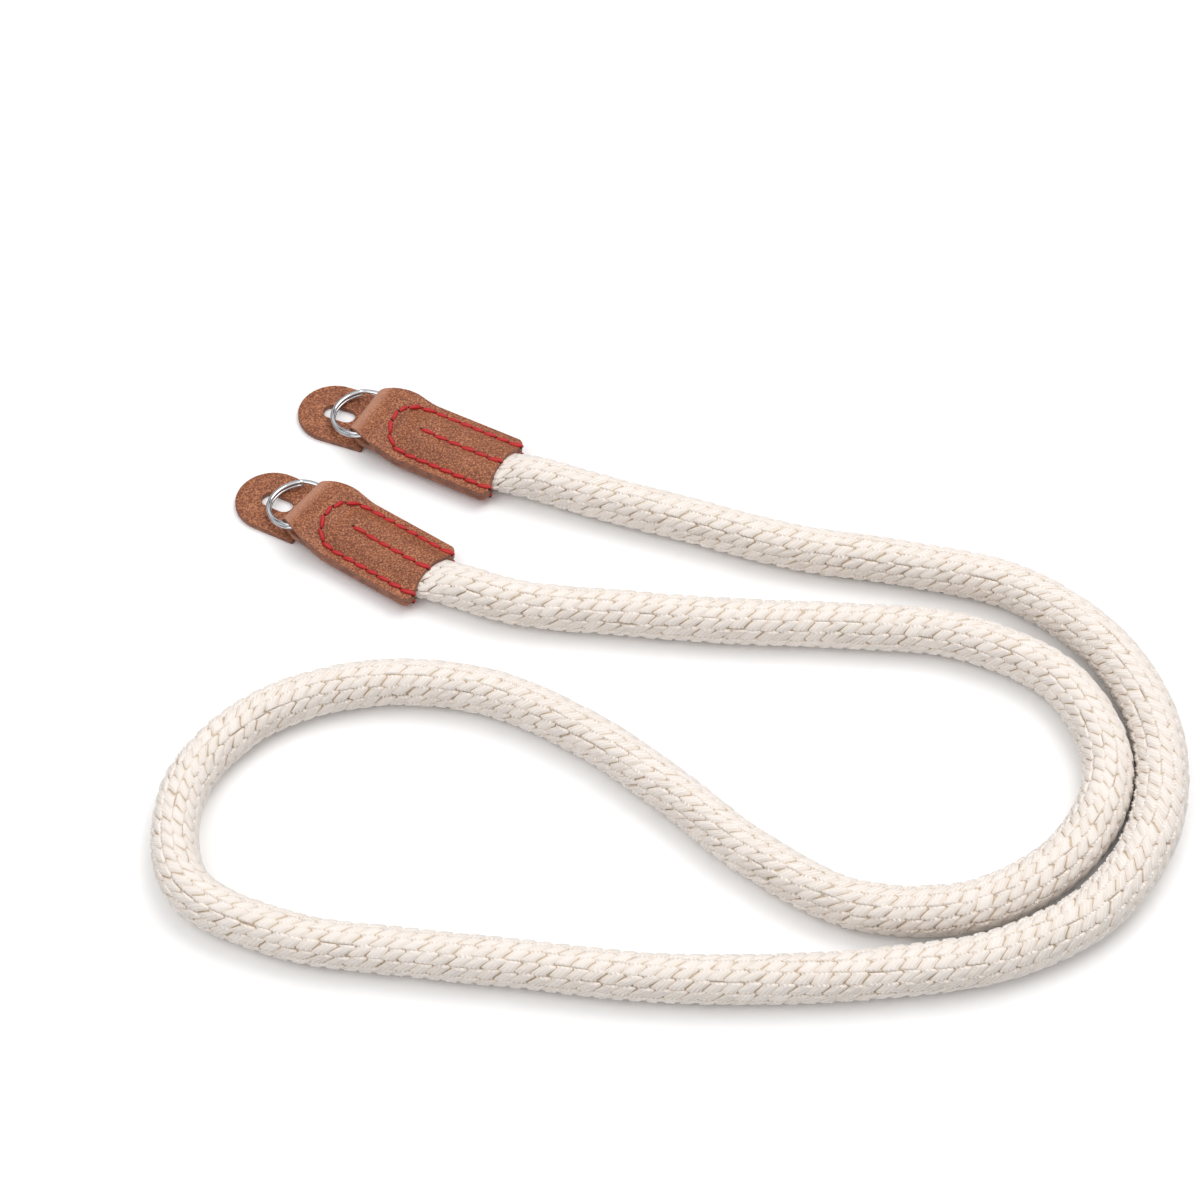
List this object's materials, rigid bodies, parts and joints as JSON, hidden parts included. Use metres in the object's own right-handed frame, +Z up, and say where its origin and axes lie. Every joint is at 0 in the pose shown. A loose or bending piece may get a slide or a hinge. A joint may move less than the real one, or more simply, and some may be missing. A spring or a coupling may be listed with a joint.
{
  "type": "camera neck strap",
  "caption": "Neck strap: a long round braided cotton rope with a folded leather tab, a split ring and a slotted leather pad at each end, lying loose in open bends.",
  "frame": {"origin": "bottom centre of the box round the two leather ends with their rings and pads, on the surface that the strap lies on", "axes": "+Z up from that surface, +X to the right of the picture, +Y away from its camera"},
  "size_m": [0.234, 0.1866, 0.0108],
  "materials": {
    "cotton": "matt braided cotton",
    "tan_leather": "fine grain, satin, dark painted edges",
    "steel": "bright plated"
  },
  "bodies": {
    "root": {"rope": "cotton", "leather_tab_a": "tan_leather", "split_ring_a": "steel", "leather_pad_a": "tan_leather", "leather_tab_b": "tan_leather", "split_ring_b": "steel", "leather_pad_b": "tan_leather"}
  },
  "joints": []
}
